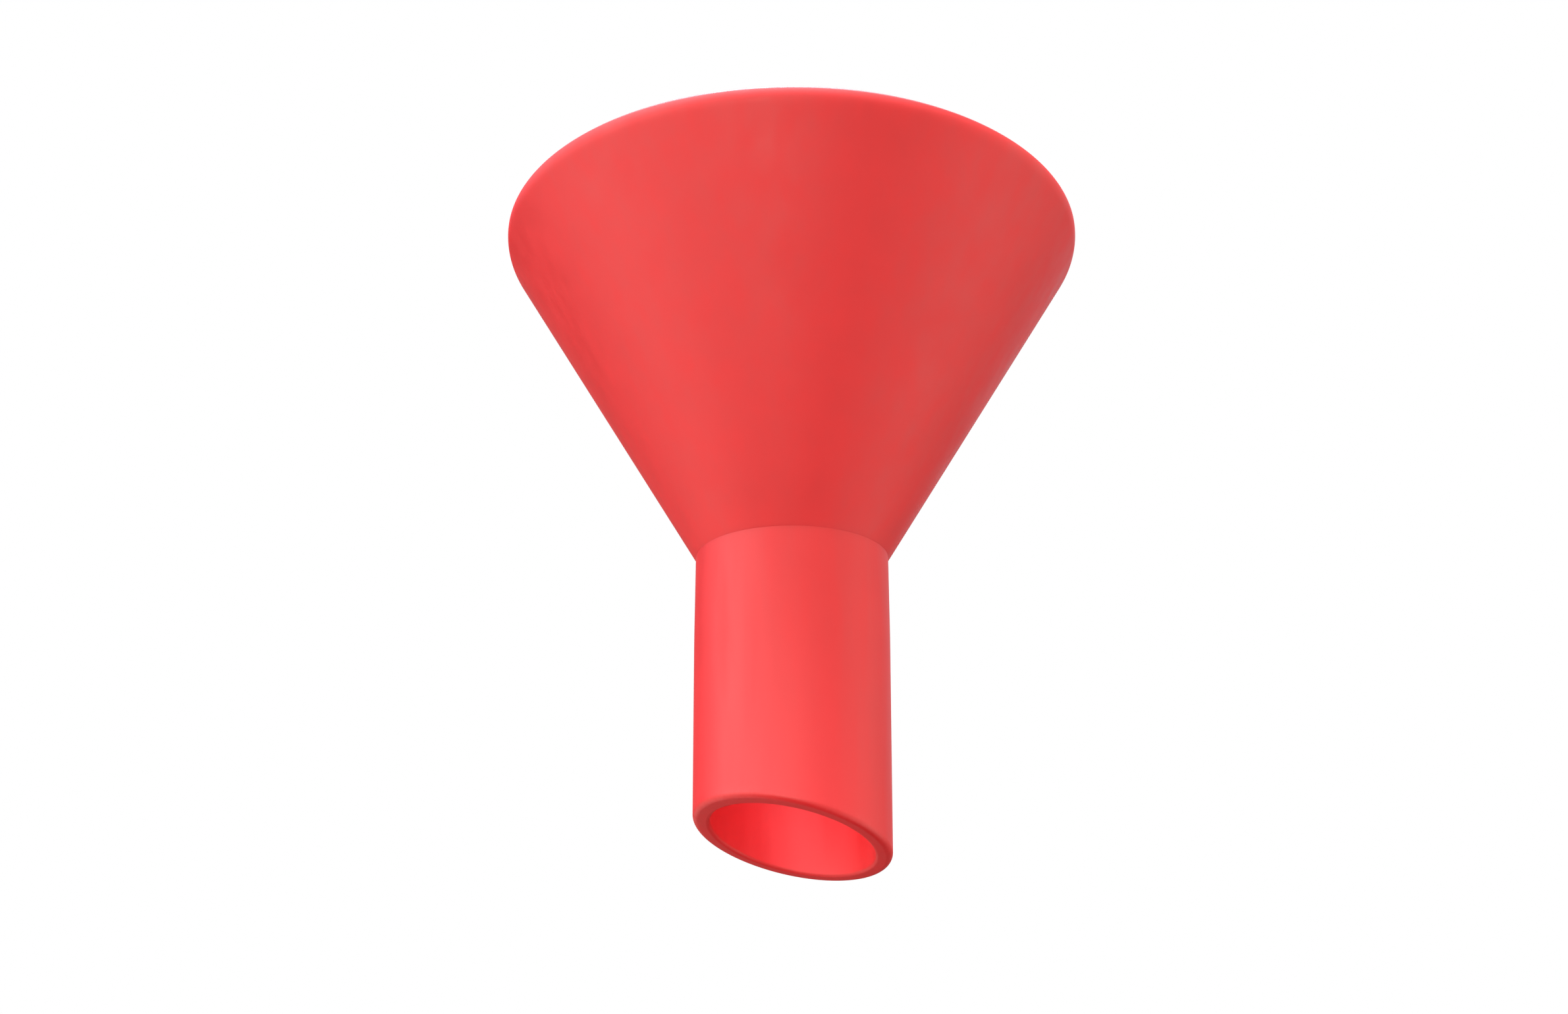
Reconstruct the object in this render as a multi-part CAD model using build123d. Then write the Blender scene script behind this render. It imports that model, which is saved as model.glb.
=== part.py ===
from build123d import *

import os
from math import cos, radians, tan

# Pouring funnel: an open cone over a straight spout with an oblique tip.
# Units are millimetres. The origin is on the axis, at the neck, where the outside of
# the cone meets the outside of the spout. +Z points up out of the mouth, and the long
# side of the spout's tip lies towards +X, so XZ is the funnel's plane of symmetry.

# Overall sizes
SPOUT_RADIUS = 16.0  # outside radius of the spout at the neck
WALL = 3.1  # wall thickness of both mouldings, square to the wall
RIM_RADIUS = 50.3  # outside radius of the rim
RIM_HEIGHT = 58.2  # from the neck up to the top of the rim
CONE_HALF_ANGLE = 31.26  # degrees between the axis and the cone's wall
SPOUT_LENGTH = 46.8  # from the neck down to the cut tip, along the axis
TIP_ANGLE = 16.0  # degrees between the cut across the tip and the level

# Outside of the spout
LAND_LENGTH = 14.0  # parallel stretch under the neck that seats in a filler neck
DRAFT_ANGLE = 0.64  # degrees of draft from the land down to the tip

# Rounded edges
LIP_BLEND_RADIUS = 4.0  # outside, where the cone's wall turns upright at the rim
LIP_EDGE_RADIUS = 0.5  # both edges of the flat top of the rim
THROAT_RADIUS = 2.0  # inside, where the cone's wall turns down into the bore
TIP_OUTER_RADIUS = 1.0  # outer edge of the cut tip
TIP_INNER_RADIUS = 0.6  # inner edge of the cut tip

# Welded joint between the two mouldings
SPIGOT_LENGTH = 8.0  # how far the cone's spigot goes down into the spout
SPIGOT_SHARE = 0.5  # the spigot's share of the spout's wall
WELD_GAP = 0.05  # film of weld around and under the spigot

# Worked out from the sizes above
BORE_RADIUS = SPOUT_RADIUS - WALL
SPIGOT_RADIUS = BORE_RADIUS + SPIGOT_SHARE * WALL
SOCKET_RADIUS = SPIGOT_RADIUS + WELD_GAP
SOCKET_DEPTH = SPIGOT_LENGTH + WELD_GAP
CONE_SLOPE = tan(radians(CONE_HALF_ANGLE))
CONE_WALL_ACROSS = WALL / cos(radians(CONE_HALF_ANGLE))
DRAFT_SLOPE = tan(radians(DRAFT_ANGLE))
TIP_REACH = SPOUT_RADIUS * tan(radians(TIP_ANGLE))
CUT_ALLOWANCE = 5.0  # stock below the lowest point of the tip, which the cut removes
CUTTER_SIDE = 4.0 * SPOUT_RADIUS  # twice the spout's width, so the cut goes right across


def outer_cone_radius(height):
    """Radius of the cone's outside face at a height above the neck."""
    return SPOUT_RADIUS + height * CONE_SLOPE


def inner_cone_radius(height):
    """Radius of the cone's inside face, one wall in from the outside face."""
    return outer_cone_radius(height) - CONE_WALL_ACROSS


def turned(corners, roundings):
    """A solid of revolution about Z from (radius, height) corners in order.

    roundings holds a radius for each corner that is rounded, by its place in the order."""
    points = [Vector(radius, 0.0, height) for radius, height in corners]
    profile = make_face(Polyline(*points, close=True))
    for place, rounding in roundings.items():
        corner = profile.vertices().sort_by_distance(points[place])[0]
        profile = fillet(corner, rounding)
    return revolve(profile, Axis.Z)


def make_cone():
    """The cone, its upright lip, and the thin spigot that goes down into the spout."""
    lip_start = (RIM_RADIUS - SPOUT_RADIUS) / CONE_SLOPE
    throat_height = (BORE_RADIUS - inner_cone_radius(0.0)) / CONE_SLOPE
    corners = [
        (SPOUT_RADIUS, 0.0),
        (RIM_RADIUS, lip_start),
        (RIM_RADIUS, RIM_HEIGHT),
        (inner_cone_radius(RIM_HEIGHT), RIM_HEIGHT),
        (BORE_RADIUS, throat_height),
        (BORE_RADIUS, -SPIGOT_LENGTH),
        (SPIGOT_RADIUS, -SPIGOT_LENGTH),
        (SPIGOT_RADIUS, 0.0),
    ]
    roundings = {
        1: LIP_BLEND_RADIUS,
        2: LIP_EDGE_RADIUS,
        3: LIP_EDGE_RADIUS,
        4: THROAT_RADIUS,
    }
    return turned(corners, roundings)


def make_tip_cutter():
    """The block below the oblique plane of the tip."""
    hanging = (Align.CENTER, Align.CENTER, Align.MAX)
    block = Box(CUTTER_SIDE, CUTTER_SIDE, CUTTER_SIDE, align=hanging)
    return Pos(0.0, 0.0, -SPOUT_LENGTH) * Rot(0.0, TIP_ANGLE, 0.0) * block


def cut_face_edges(tube):
    """Edges of the lowest flat face, the cut across the tip, from the shortest."""
    cut_face = tube.faces().filter_by(GeomType.PLANE).sort_by(Axis.Z)[0]
    return cut_face.edges().sort_by(SortBy.LENGTH)


def make_spout():
    """The spout: a socket at the top, a parallel land, a drafted tube and a cut tip."""
    stock_end = SPOUT_LENGTH + TIP_REACH + CUT_ALLOWANCE
    end_radius = SPOUT_RADIUS - (stock_end - LAND_LENGTH) * DRAFT_SLOPE
    corners = [
        (SOCKET_RADIUS, 0.0),
        (SPOUT_RADIUS, 0.0),
        (SPOUT_RADIUS, -LAND_LENGTH),
        (end_radius, -stock_end),
        (BORE_RADIUS, -stock_end),
        (BORE_RADIUS, -SOCKET_DEPTH),
        (SOCKET_RADIUS, -SOCKET_DEPTH),
    ]
    tube = turned(corners, {}) - make_tip_cutter()
    outer_edge = cut_face_edges(tube)[-1]
    tube = fillet(outer_edge, TIP_OUTER_RADIUS)
    inner_edge = cut_face_edges(tube)[0]
    return fillet(inner_edge, TIP_INNER_RADIUS)


def main():
    os.makedirs("parts", exist_ok=True)
    export_step(make_cone(), "parts/cone.step")
    export_step(make_spout(), "parts/spout.step")


main()
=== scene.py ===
# %% [markdown]
# # A red plastic pouring funnel
# The funnel has two moulded pieces: an open cone with a rounded upright lip, and a straight
# spout whose tip is cut at an angle. A thin spigot under the cone goes down into a socket in
# the spout, and the two are welded there, so nothing moves and both ride on one body.
#
# The CAD model is the frame. Every size here is either read from it or is one of its few
# driving sizes, written again in metres. The origin is on the axis at the neck, +Z points up
# out of the mouth, and +X points to the long side of the cut tip.

# %% Load the frame
import math

import bpy
import numpy as np
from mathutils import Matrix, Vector


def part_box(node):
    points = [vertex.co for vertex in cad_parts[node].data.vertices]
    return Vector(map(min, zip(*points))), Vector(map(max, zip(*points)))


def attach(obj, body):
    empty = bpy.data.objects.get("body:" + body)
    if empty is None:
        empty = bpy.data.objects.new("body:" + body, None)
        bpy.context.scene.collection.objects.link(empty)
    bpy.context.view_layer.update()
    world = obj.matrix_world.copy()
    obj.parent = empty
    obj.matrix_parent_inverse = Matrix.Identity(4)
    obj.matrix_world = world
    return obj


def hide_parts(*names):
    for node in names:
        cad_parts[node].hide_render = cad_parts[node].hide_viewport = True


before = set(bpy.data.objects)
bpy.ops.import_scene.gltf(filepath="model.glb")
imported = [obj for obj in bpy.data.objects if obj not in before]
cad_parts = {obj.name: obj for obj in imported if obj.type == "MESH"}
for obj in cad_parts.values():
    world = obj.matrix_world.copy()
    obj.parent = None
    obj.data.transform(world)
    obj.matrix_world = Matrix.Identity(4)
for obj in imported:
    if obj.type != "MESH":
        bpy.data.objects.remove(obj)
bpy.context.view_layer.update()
print("CAD nodes:", sorted(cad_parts))

# %% [markdown]
# ## Sizes
# A turned shape needs few sizes: radii, heights and three angles. The ones that a bounding
# box shows are read from the frame, so they can't drift away from it. The rest can't be seen
# in a box, because they are angles, wall thicknesses and roundings.

# %% Sizes read from the frame
MM = 0.001
cone_low, cone_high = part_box("cone")
_, spout_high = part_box("spout")
RIM_RADIUS = cone_high.x
RIM_HEIGHT = cone_high.z
SPIGOT_END = cone_low.z
SPOUT_RADIUS = spout_high.x
print("rim radius", RIM_RADIUS, "rim height", RIM_HEIGHT, "spout radius", SPOUT_RADIUS)

# %% Sizes that a box doesn't show
WALL = 3.1 * MM
BORE_RADIUS = SPOUT_RADIUS - WALL
SPIGOT_RADIUS = SPOUT_RADIUS - 0.5 * WALL
WELD_GAP = 0.05 * MM
CONE_HALF_ANGLE = math.radians(31.26)
SPOUT_LENGTH = 46.8 * MM
TIP_ANGLE = math.radians(16.0)
LAND_LENGTH = 14.0 * MM
DRAFT_ANGLE = math.radians(0.64)
print("bore radius", round(BORE_RADIUS, 5), "spigot radius", round(SPIGOT_RADIUS, 5))

# %% Roundings
LIP_BLEND = 4.0 * MM
LIP_EDGE = 0.5 * MM
THROAT = 2.0 * MM
TIP_OUTER = 1.0 * MM
TIP_INNER = 0.6 * MM
# The hidden edges of the joint are only broken, and the two that meet at the neck even less.
BROKEN_EDGE = 0.08 * MM
NECK_EDGE = BROKEN_EDGE / 4
# The land turns into the draft by less than a degree, so a very large arc fits that bend.
LAND_BLEND = 400 * MM
print("lip blend", LIP_BLEND, "throat", THROAT, "tip edges", TIP_OUTER, TIP_INNER)

# %% [markdown]
# ## A section with rounded corners
# Both pieces are a closed section carried round the axis. The section is a list of corners,
# (radius, height), and each corner may be rounded by an arc. Blender's Bevel modifier could
# round them too, but here the radii must be the CAD ones, and the tip's corners change angle
# as they go round, so the arcs are worked out as arrays over all azimuths at once.

# %% The arc that rounds a corner
ARC_STEPS = 10


def rounded_corner(before, corner, after, radius):
    """The arc of the given radius that touches both runs at a corner.

    With a and b the unit directions from the corner back and onward, and h half the angle
    between them, the centre is on their bisector at radius / sin(h), and the arc starts
    and ends radius / tan(h) along the runs. Points between are the two end spokes blended
    by sin((1 - w) t) / sin(t) and sin(w t) / sin(t), with t = pi - 2h."""
    a = before - corner
    b = after - corner
    a = a / np.linalg.norm(a, axis=-1, keepdims=True)
    b = b / np.linalg.norm(b, axis=-1, keepdims=True)
    half = np.arccos(np.clip((a * b).sum(-1, keepdims=True), -1.0, 1.0)) / 2
    bisector = (a + b) / np.linalg.norm(a + b, axis=-1, keepdims=True)
    centre = corner + bisector * radius / np.sin(half)
    first = corner + a * radius / np.tan(half) - centre
    last = corner + b * radius / np.tan(half) - centre
    turn = (np.pi - 2 * half)[:, None, :]
    w = np.linspace(0.0, 1.0, ARC_STEPS + 1)[None, :, None]
    spokes = np.sin((1 - w) * turn) * first[:, None, :] + np.sin(w * turn) * last[:, None, :]
    return centre[:, None, :] + spokes / np.sin(turn)


# %% The whole section at every azimuth
RUN_STEPS = 24


def section_rings(corners, roundings, azimuths):
    """Section points, shaped (azimuths, points, 2), of a closed section with rounded corners.

    Runs between corners are divided by (1 - cos(pi w)) / 2, so that points crowd towards the
    arcs and the flat stretches keep their own straight shading."""
    points = np.empty((len(azimuths), len(corners), 2))
    for k, (radius, height) in enumerate(corners):
        points[:, k, 0] = radius
        points[:, k, 1] = height
    arcs = []
    for k, rounding in enumerate(roundings):
        before = points[:, k - 1]
        after = points[:, (k + 1) % len(corners)]
        arcs.append(rounded_corner(before, points[:, k], after, rounding))
    w = ((1 - np.cos(np.pi * np.linspace(0.0, 1.0, RUN_STEPS + 1))) / 2)[1:-1]
    strips = []
    for k, arc in enumerate(arcs):
        start = arc[:, -1:, :]
        end = arcs[(k + 1) % len(arcs)][:, :1, :]
        strips.append(arc)
        strips.append(start + (end - start) * w[None, :, None])
    return np.concatenate(strips, axis=1)


# %% Carry the section round the axis and make the mesh
AROUND = 288
azimuths = np.linspace(0.0, 2 * np.pi, AROUND, endpoint=False)


def turned_piece(name, rings):
    """A mesh whose vertex (i, j) is section point j at azimuth i.

    x = radius cos(azimuth), y = radius sin(azimuth), z = height. Both grid directions close
    on themselves, so the surface has no seam, pole or open edge. The UV map holds the
    azimuth as a share of a turn, and the place along the section as a share of its points."""
    around, along = rings.shape[:2]
    radius = rings[..., 0]
    height = rings[..., 1]
    x = radius * np.cos(azimuths)[:, None]
    y = radius * np.sin(azimuths)[:, None]
    vertices = np.stack([x, y, height], axis=-1).reshape(-1, 3)
    i, j = np.meshgrid(np.arange(around), np.arange(along), indexing="ij")
    i_next = (i + 1) % around
    j_next = (j + 1) % along
    quads = np.stack(
        [i * along + j, i_next * along + j, i_next * along + j_next, i * along + j_next],
        axis=-1,
    ).reshape(-1, 4)
    mesh = bpy.data.meshes.new(name)
    mesh.from_pydata(vertices, [], quads)
    mesh.polygons.foreach_set("use_smooth", np.ones(len(quads), dtype=bool))
    u = np.stack([i, i + 1, i + 1, i], axis=-1) / around
    v = np.stack([j, j, j + 1, j + 1], axis=-1) / along
    uv = np.stack([u, v], axis=-1).reshape(-1)
    mesh.uv_layers.new(name="around_and_along").data.foreach_set("uv", uv)
    mesh.update()
    piece = bpy.data.objects.new(name, mesh)
    bpy.context.scene.collection.objects.link(piece)
    print(name, "has", len(vertices), "vertices and", 2 * len(quads), "triangles")
    return piece


# %% [markdown]
# ## The cone
# Outside, the wall leans out at a little over 31 degrees, and at the rim it turns upright in a
# soft blend. The inside face is parallel, one wall in, and turns down into the bore. Below
# the neck only the thin spigot goes on, hidden in the spout.

# %% Make the cone
cone_slope = math.tan(CONE_HALF_ANGLE)
wall_across = WALL / math.cos(CONE_HALF_ANGLE)
lip_start = (RIM_RADIUS - SPOUT_RADIUS) / cone_slope
mouth_radius = SPOUT_RADIUS + RIM_HEIGHT * cone_slope - wall_across
throat_height = (BORE_RADIUS - SPOUT_RADIUS + wall_across) / cone_slope
cone_corners = [
    (SPOUT_RADIUS, 0.0),
    (RIM_RADIUS, lip_start),
    (RIM_RADIUS, RIM_HEIGHT),
    (mouth_radius, RIM_HEIGHT),
    (BORE_RADIUS, throat_height),
    (BORE_RADIUS, SPIGOT_END),
    (SPIGOT_RADIUS, SPIGOT_END),
    (SPIGOT_RADIUS, 0.0),
]
cone_roundings = [
    NECK_EDGE,
    LIP_BLEND,
    LIP_EDGE,
    LIP_EDGE,
    THROAT,
    BROKEN_EDGE,
    BROKEN_EDGE,
    BROKEN_EDGE,
]
cone_rings = section_rings(cone_corners, cone_roundings, azimuths)
cone = turned_piece("cone_moulding", cone_rings)

# %% [markdown]
# ## The spout
# The top 14 mm outside is parallel, so that it sits well in a filler neck, and below that a
# fraction of a degree of draft lets the moulding leave its tool. The cut across the tip is a
# plane, so the height of the section's two lowest corners changes round the axis.

# %% Make the spout
tip_slope = math.tan(TIP_ANGLE) * np.cos(azimuths)
draft_slope = math.tan(DRAFT_ANGLE)
# The drafted wall, radius = R - s (-z - land), meets the cut, z = -length - radius * slope.
tip_radius = (SPOUT_RADIUS - draft_slope * (SPOUT_LENGTH - LAND_LENGTH)) / (
    1 + draft_slope * tip_slope
)
socket_radius = SPIGOT_RADIUS + WELD_GAP
socket_end = SPIGOT_END - WELD_GAP
spout_corners = [
    (SPOUT_RADIUS, 0.0),
    (socket_radius, 0.0),
    (socket_radius, socket_end),
    (BORE_RADIUS, socket_end),
    (BORE_RADIUS, -SPOUT_LENGTH - BORE_RADIUS * tip_slope),
    (tip_radius, -SPOUT_LENGTH - tip_radius * tip_slope),
    (SPOUT_RADIUS, -LAND_LENGTH),
]
spout_roundings = [
    NECK_EDGE,
    BROKEN_EDGE,
    BROKEN_EDGE,
    BROKEN_EDGE,
    TIP_INNER,
    TIP_OUTER,
    LAND_BLEND,
]
spout_rings = section_rings(spout_corners, spout_roundings, azimuths)
spout = turned_piece("spout_moulding", spout_rings)

# %% [markdown]
# ## Where hands and necks rub
# A funnel is stood on its lip, knocked on its tip and pushed into filler necks, so those
# edges get polished and slightly paler. How exposed a point is can't be read from its
# position alone, so each vertex carries a number, rubbed, worked out from the section: it is
# 1 on the edges of the lip and the tip and falls away from them as a bell curve.

# %% How rubbed each point is
def mark_rubbed(piece, rings, ridges):
    """A float attribute, 1 on each ridge, falling as exp(-(distance / reach) squared).

    A ridge is (radius, height, slope, reach): its circle is at the height less the slope
    times the cosine of the azimuth, so that a slanted edge is followed all the way round."""
    rubbed = np.zeros(rings.shape[:2])
    for radius, height, slope, reach in ridges:
        middle = height - slope * np.cos(azimuths)[:, None]
        distance = np.hypot(rings[..., 0] - radius, rings[..., 1] - middle)
        rubbed = np.maximum(rubbed, np.exp(-((distance / reach) ** 2)))
    attribute = piece.data.attributes.new("rubbed", "FLOAT", "POINT")
    attribute.data.foreach_set("value", rubbed.reshape(-1))
    print(piece.name, "is rubbed up to", round(float(rubbed.max()), 2))


# %% Rub the lip's two edges and the tip's outer edge
LIP_OUTER_REACH = 0.9 * MM
LIP_INNER_REACH = 0.7 * MM
TIP_REACH = 1.1 * MM
lip_outer = (RIM_RADIUS, RIM_HEIGHT, 0.0, LIP_OUTER_REACH)
lip_inner = (mouth_radius, RIM_HEIGHT, 0.0, LIP_INNER_REACH)
mean_tip = float(tip_radius.mean())
tip_outer = (mean_tip, -SPOUT_LENGTH, math.tan(TIP_ANGLE) * mean_tip, TIP_REACH)
mark_rubbed(cone, cone_rings, [lip_outer, lip_inner])
mark_rubbed(spout, spout_rings, [tip_outer])

# %% [markdown]
# ## Red plastic
# The real finish is a tough plastic moulded against a fine satin steel: one pigment through
# the whole wall, no paint. Close up it isn't one flat red. The pigment is a little uneven in
# clouds and in streaks that follow the flow up the wall, the sheen varies where the tool was
# polished by hand, and the skin has a fine tooth and a slow waviness from shrinking. A little
# light goes into the wall and comes out redder, which is what makes plastic look like plastic
# and not like paint, so a share of the shader is subsurface, with red reaching farthest.
# All the patterns are in object coordinates, in metres, so they run on over both pieces.

# %% A helper for shader nodes
def node(tree, kind, links=None, **values):
    """A new shader node; values go to its inputs or properties, links feed its inputs."""
    made = tree.nodes.new(kind)
    for key, value in values.items():
        if key in made.inputs:
            made.inputs[key].default_value = value
        else:
            setattr(made, key, value)
    for key, source in (links or {}).items():
        tree.links.new(source, made.inputs[key])
    return made


# %% Noise at a given size of feature
def cloud(tree, where, size, detail=2.0, roughness=0.5):
    """Noise from 0 to 1 whose features are about the given size, in metres."""
    values = {"Scale": 1.0 / size, "Detail": detail, "Roughness": roughness}
    made = node(tree, "ShaderNodeTexNoise", links={"Vector": where}, **values)
    return made.outputs["Fac"]


# %% Stretch, reckon and mix
def stretched(tree, value, before, after):
    """The value carried from the range before to the range after, and held inside it."""
    limits = {
        "From Min": before[0],
        "From Max": before[1],
        "To Min": after[0],
        "To Max": after[1],
    }
    made = node(tree, "ShaderNodeMapRange", links={"Value": value}, **limits)
    return made.outputs["Result"]


def reckoned(tree, operation, first, second):
    """first operation second, where second is another node's output or a plain number."""
    made = node(tree, "ShaderNodeMath", links={0: first}, operation=operation)
    if isinstance(second, float):
        made.inputs[1].default_value = second
    else:
        tree.links.new(second, made.inputs[1])
    return made.outputs[0]


COLOUR_A = 6
COLOUR_B = 7
COLOUR_OUT = 2


def mixed(tree, share, first, second):
    """Colour first where the share is 0 and second where it is 1.

    A Mix node keeps its colour sockets after those for numbers and vectors, so they are
    reached by their place. Either colour is a node's output or plain red, green, blue."""
    made = node(tree, "ShaderNodeMix", links={"Factor": share}, data_type="RGBA")
    for place, colour in ((COLOUR_A, first), (COLOUR_B, second)):
        if isinstance(colour, tuple):
            made.inputs[place].default_value = (*colour, 1.0)
        else:
            tree.links.new(colour, made.inputs[place])
    return made.outputs[COLOUR_OUT]


def bumped(tree, height, depth, under=None):
    """A bump of the given depth in metres, laid over the bump called under if there is one."""
    links = {"Height": height}
    if under is not None:
        links["Normal"] = under
    made = node(tree, "ShaderNodeBump", links=links, Strength=1.0, Distance=depth)
    return made.outputs["Normal"]


# %% The plastic's sizes and strengths
CLOUD_SIZE = 14 * MM
STREAK_SIZE = 3.5 * MM
STREAK_SQUEEZE = (1.0, 1.0, 0.16)
SPECK_SIZE = 0.7 * MM
DEEP_RED = (0.745, 0.0062, 0.0112)
LIGHT_RED = (0.820, 0.0088, 0.0145)
PIGMENT_RANGE = (0.6, 1.4)
RUBBED_RED = (0.84, 0.035, 0.042)
PATCH_RANGE = (0.35, 0.65)
LEAST_PATCH = 0.3
WEAR_PALENESS = 0.25
SATIN = 0.57
SATIN_SWING = 0.05
SHEEN_RANGE = (0.3, 0.7)
WEAR_POLISH = 0.12
WAVE_SIZE = 22 * MM
WAVE_DEPTH = 0.04 * MM
TOOTH_SIZE = 0.35 * MM
TOOTH_DEPTH = 0.007 * MM
SURFACE = {"IOR": 1.5, "Specular IOR Level": 1.0}
SUBSURFACE = {
    "Subsurface Weight": 0.2,
    "Subsurface Radius": (1.0, 0.3, 0.25),
    "Subsurface Scale": 2.5 * MM,
}
print("pigment clouds", CLOUD_SIZE, "streaks", STREAK_SIZE, "tooth", TOOTH_SIZE)


# %% Make the plastic
def red_plastic():
    """Two reds mixed by noise, paler and smoother where rubbed, under two bumps."""
    material = bpy.data.materials.new("red_plastic")
    material.use_nodes = True
    tree = material.node_tree
    shader = tree.nodes["Principled BSDF"]
    where = node(tree, "ShaderNodeTexCoord").outputs["Object"]
    # Flow streaks are the same kind of noise, squeezed to a sixth along the axis's direction.
    along = node(
        tree, "ShaderNodeMapping", links={"Vector": where}, Scale=STREAK_SQUEEZE
    ).outputs["Vector"]
    clouds = cloud(tree, where, CLOUD_SIZE, detail=3.0)
    streaks = cloud(tree, along, STREAK_SIZE)
    specks = cloud(tree, where, SPECK_SIZE, detail=1.0)
    tooth = cloud(tree, where, TOOTH_SIZE, roughness=0.6)
    waves = cloud(tree, where, WAVE_SIZE, detail=1.0)
    # Pigment: two close reds, mixed by the clouds and the streaks.
    both = reckoned(tree, "ADD", clouds, streaks)
    reds = mixed(tree, stretched(tree, both, PIGMENT_RANGE, (0.0, 1.0)), DEEP_RED, LIGHT_RED)
    # Wear: the rubbed number, broken up by the specks, so that it is patchy.
    rubbed = node(tree, "ShaderNodeAttribute", attribute_name="rubbed").outputs["Fac"]
    patches = stretched(tree, specks, PATCH_RANGE, (LEAST_PATCH, 1.0))
    worn = reckoned(tree, "MULTIPLY", rubbed, patches)
    paleness = reckoned(tree, "MULTIPLY", worn, WEAR_PALENESS)
    colour = mixed(tree, paleness, reds, RUBBED_RED)
    # Sheen: satin, rougher and smoother along the streaks, smoother still where it is rubbed.
    satin = stretched(tree, streaks, SHEEN_RANGE, (SATIN - SATIN_SWING, SATIN + SATIN_SWING))
    polish = reckoned(tree, "MULTIPLY", worn, WEAR_POLISH)
    roughness = reckoned(tree, "SUBTRACT", satin, polish)
    # Skin: a slow waviness under a fine tooth.
    skin = bumped(tree, tooth, TOOTH_DEPTH, under=bumped(tree, waves, WAVE_DEPTH))
    tree.links.new(colour, shader.inputs["Base Color"])
    tree.links.new(roughness, shader.inputs["Roughness"])
    tree.links.new(skin, shader.inputs["Normal"])
    for socket, value in {**SURFACE, **SUBSURFACE}.items():
        shader.inputs[socket].default_value = value
    print("red plastic has", len(tree.nodes), "nodes")
    return material


# %% Put the plastic on both pieces and tie them to the CAD
plastic = red_plastic()
for piece, cad_node in ((cone, "cone"), (spout, "spout")):
    piece.data.materials.append(plastic)
    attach(piece, "root")
    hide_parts(cad_node)
    print(piece.name, "stands for", cad_node)

# %% [markdown]
# ## Studio
# The funnel hangs above a pale floor, which is lit evenly by a glow of its own and throws
# neither light nor shadow on the funnel. The floor can be seen only from above, so that it
# doesn't hide the funnel from underneath. The light is that of a small product studio: large
# round softboxes, each a disk facing the funnel, in a dim room. They are given by where they
# stand as the camera sees it, so that the set turns with the camera if it is moved.

# %% Floor
FLOOR_HEIGHT = -0.115
FLOOR_RADIUS = 0.95
FLOOR_CORNERS = 96
FLOOR_COLOUR = (0.16, 0.15, 0.14)
FLOOR_ROUGHNESS = 0.8
FLOOR_GLOW = 0.78
WHITE = (1.0, 1.0, 1.0)


def floor_material():
    """A matt pale sheet that glows evenly, and is clear on its underside."""
    material = bpy.data.materials.new("pale_floor")
    material.use_nodes = True
    tree = material.node_tree
    shader = tree.nodes["Principled BSDF"]
    shader.inputs["Base Color"].default_value = (*FLOOR_COLOUR, 1.0)
    shader.inputs["Roughness"].default_value = FLOOR_ROUGHNESS
    shader.inputs["Emission Color"].default_value = (*WHITE, 1.0)
    shader.inputs["Emission Strength"].default_value = FLOOR_GLOW
    below = node(tree, "ShaderNodeNewGeometry").outputs["Backfacing"]
    clear = node(tree, "ShaderNodeBsdfTransparent").outputs[0]
    links = {0: below, 1: shader.outputs[0], 2: clear}
    sheet = node(tree, "ShaderNodeMixShader", links=links)
    tree.links.new(sheet.outputs[0], tree.nodes["Material Output"].inputs["Surface"])
    return material


def make_floor():
    """A round sheet: one polygon with its corners evenly spaced on a circle."""
    turn = np.linspace(0.0, 2 * np.pi, FLOOR_CORNERS, endpoint=False)
    corners = np.stack([np.cos(turn), np.sin(turn), np.zeros(FLOOR_CORNERS)], axis=-1)
    corners = corners * FLOOR_RADIUS
    corners[:, 2] = FLOOR_HEIGHT
    mesh = bpy.data.meshes.new("floor")
    mesh.from_pydata(corners, [], [list(range(FLOOR_CORNERS))])
    mesh.materials.append(floor_material())
    floor = bpy.data.objects.new("floor", mesh)
    bpy.context.scene.collection.objects.link(floor)
    floor.visible_diffuse = False
    floor.visible_glossy = False
    floor.visible_shadow = False
    return floor


floor = make_floor()
print("floor is", 2 * FLOOR_RADIUS, "across, at height", FLOOR_HEIGHT)

# %% Room
# The backdrop is pure white to the camera, but as a light the room is dim.
ROOM_LIGHT = 0.02
BACKDROP_LIGHT = 1.0
world = bpy.data.worlds.new("studio")
bpy.context.scene.world = world
world.use_nodes = True
room = world.node_tree
dim = room.nodes["Background"]
dim.inputs["Color"].default_value = (*WHITE, 1.0)
dim.inputs["Strength"].default_value = ROOM_LIGHT
white = node(room, "ShaderNodeBackground", Color=(*WHITE, 1.0), Strength=BACKDROP_LIGHT)
seen = node(room, "ShaderNodeLightPath").outputs["Is Camera Ray"]
links = {0: seen, 1: dim.outputs[0], 2: white.outputs[0]}
backdrop = node(room, "ShaderNodeMixShader", links=links)
room.links.new(backdrop.outputs[0], room.nodes["World Output"].inputs["Surface"])
bpy.context.scene.view_settings.view_transform = "Standard"
print("the room gives", ROOM_LIGHT, "and the backdrop", BACKDROP_LIGHT)

# %% A softbox
FRONT = -90.0
CAMERA_TURN = -45.18
CAMERA_AZIMUTH = math.radians(FRONT + CAMERA_TURN)
LIGHT_DISTANCE = 1.2


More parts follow.
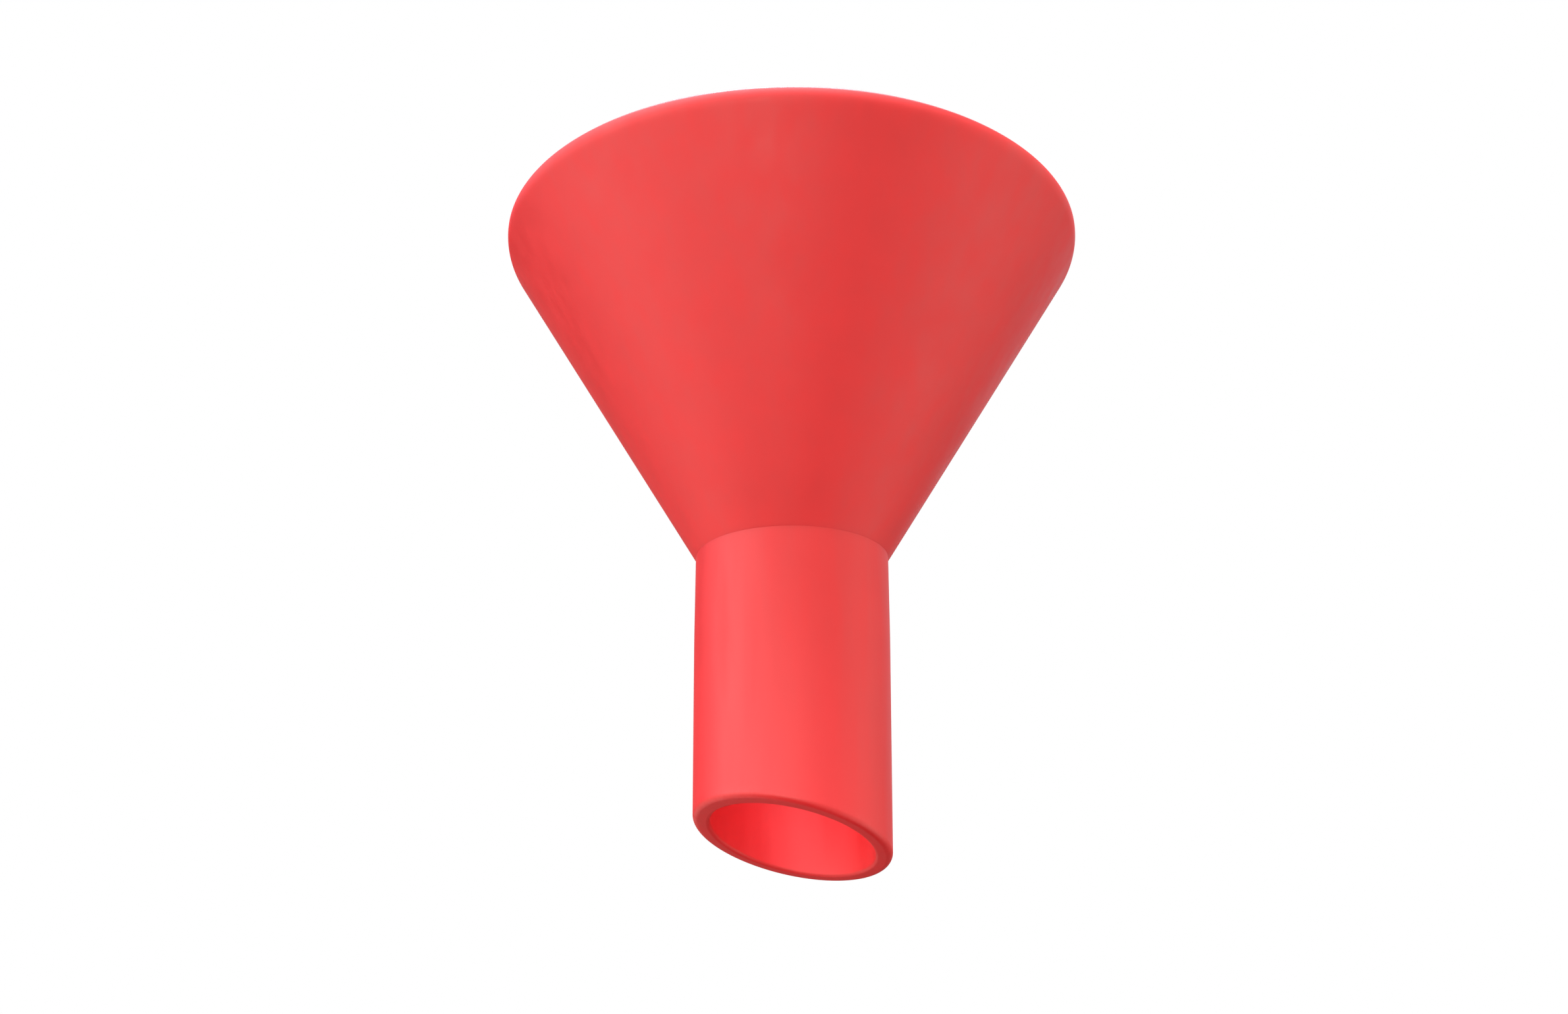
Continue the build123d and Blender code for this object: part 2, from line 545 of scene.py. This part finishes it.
def softbox(name, across, up, half_width, power, colour):
    """A round area light on a sphere about the funnel, facing its middle.

    across is the angle round from the camera's right hand, 90 degrees being behind the
    funnel and 270 the camera's own side, up is the height angle, and half_width is the
    angle that the disk's radius fills as the funnel sees it. All are in degrees."""
    data = bpy.data.lights.new(name, "AREA")
    data.shape = "DISK"
    data.size = 2 * LIGHT_DISTANCE * math.tan(math.radians(half_width))
    data.energy = power
    data.color = colour
    light = bpy.data.objects.new(name, data)
    bpy.context.scene.collection.objects.link(light)
    heading = CAMERA_AZIMUTH + math.radians(across + 90.0)
    lift = math.radians(up)
    level = LIGHT_DISTANCE * math.cos(lift)
    light.location = (
        level * math.cos(heading),
        level * math.sin(heading),
        LIGHT_DISTANCE * math.sin(lift),
    )
    light.rotation_euler = (-light.location).to_track_quat("-Z", "Y").to_euler()
    light.visible_camera = False
    return light


# %% The softboxes: name, across, up, half width, power in watts, colour
WARM = (1.0, 0.82, 0.74)
COOL = (0.74, 0.90, 1.0)
SOFTBOXES = [
    ("key_left", 210, 2, 36, 12.7, WARM),
    ("lens_side", 262, -16, 14, 4.4, WARM),
    ("right", 8, 0, 34, 4.3, WARM),
    ("high_right", 342, 28, 34, 5.6, WARM),
    ("front_right", 281, 28, 27, 4.9, WARM),
    ("low_left", 155, -35, 32, 5.4, WARM),
    ("low_right", 342, -36, 34, 5.8, WARM),
    ("back", 90, 0, 40, 3.1, WARM),
    ("high_left", 188, 45, 38, 10.7, COOL),
    ("high_back", 75, 40, 36, 6.3, COOL),
    ("steep_left", 225, 63, 11, 5.0, COOL),
    ("steep_front", 258, 72, 9, 29.0, COOL),
    ("overhead", 0, 90, 28, 17.0, COOL),
]
softboxes = [softbox(*row) for row in SOFTBOXES]
print(len(softboxes), "softboxes give", round(sum(s.data.energy for s in softboxes), 1), "W")

# %% [markdown]
# ## Camera
# The camera is close to the funnel and a little under it, and looks up at it with a slightly
# wide lens, so that the middle of the picture falls a little above the neck.

# %% Camera
CAMERA_DISTANCE = 272.64 * MM
CAMERA_BELOW = math.radians(19.835)
LOOK_UP = math.radians(21.686)
LOOK_ASIDE = math.radians(0.298)
LENS_MM = 37.54
SENSOR_MM = 36.0
NEAREST = 0.01
FARTHEST = 20.0


def make_camera():
    """A camera on a sphere about the origin, turned up and aside from straight ahead."""
    data = bpy.data.cameras.new("camera")
    data.sensor_width = SENSOR_MM
    data.lens = LENS_MM
    data.clip_start = NEAREST
    data.clip_end = FARTHEST
    camera = bpy.data.objects.new("camera", data)
    bpy.context.scene.collection.objects.link(camera)
    level = CAMERA_DISTANCE * math.cos(CAMERA_BELOW)
    camera.location = (
        level * math.cos(CAMERA_AZIMUTH),
        level * math.sin(CAMERA_AZIMUTH),
        -CAMERA_DISTANCE * math.sin(CAMERA_BELOW),
    )
    heading = CAMERA_AZIMUTH + math.pi + LOOK_ASIDE
    look = Vector(
        (
            math.cos(heading) * math.cos(LOOK_UP),
            math.sin(heading) * math.cos(LOOK_UP),
            math.sin(LOOK_UP),
        )
    )
    camera.rotation_euler = look.to_track_quat("-Z", "Y").to_euler()
    return camera


camera = make_camera()
bpy.context.scene.camera = camera
print("camera at", [round(c, 4) for c in camera.location])
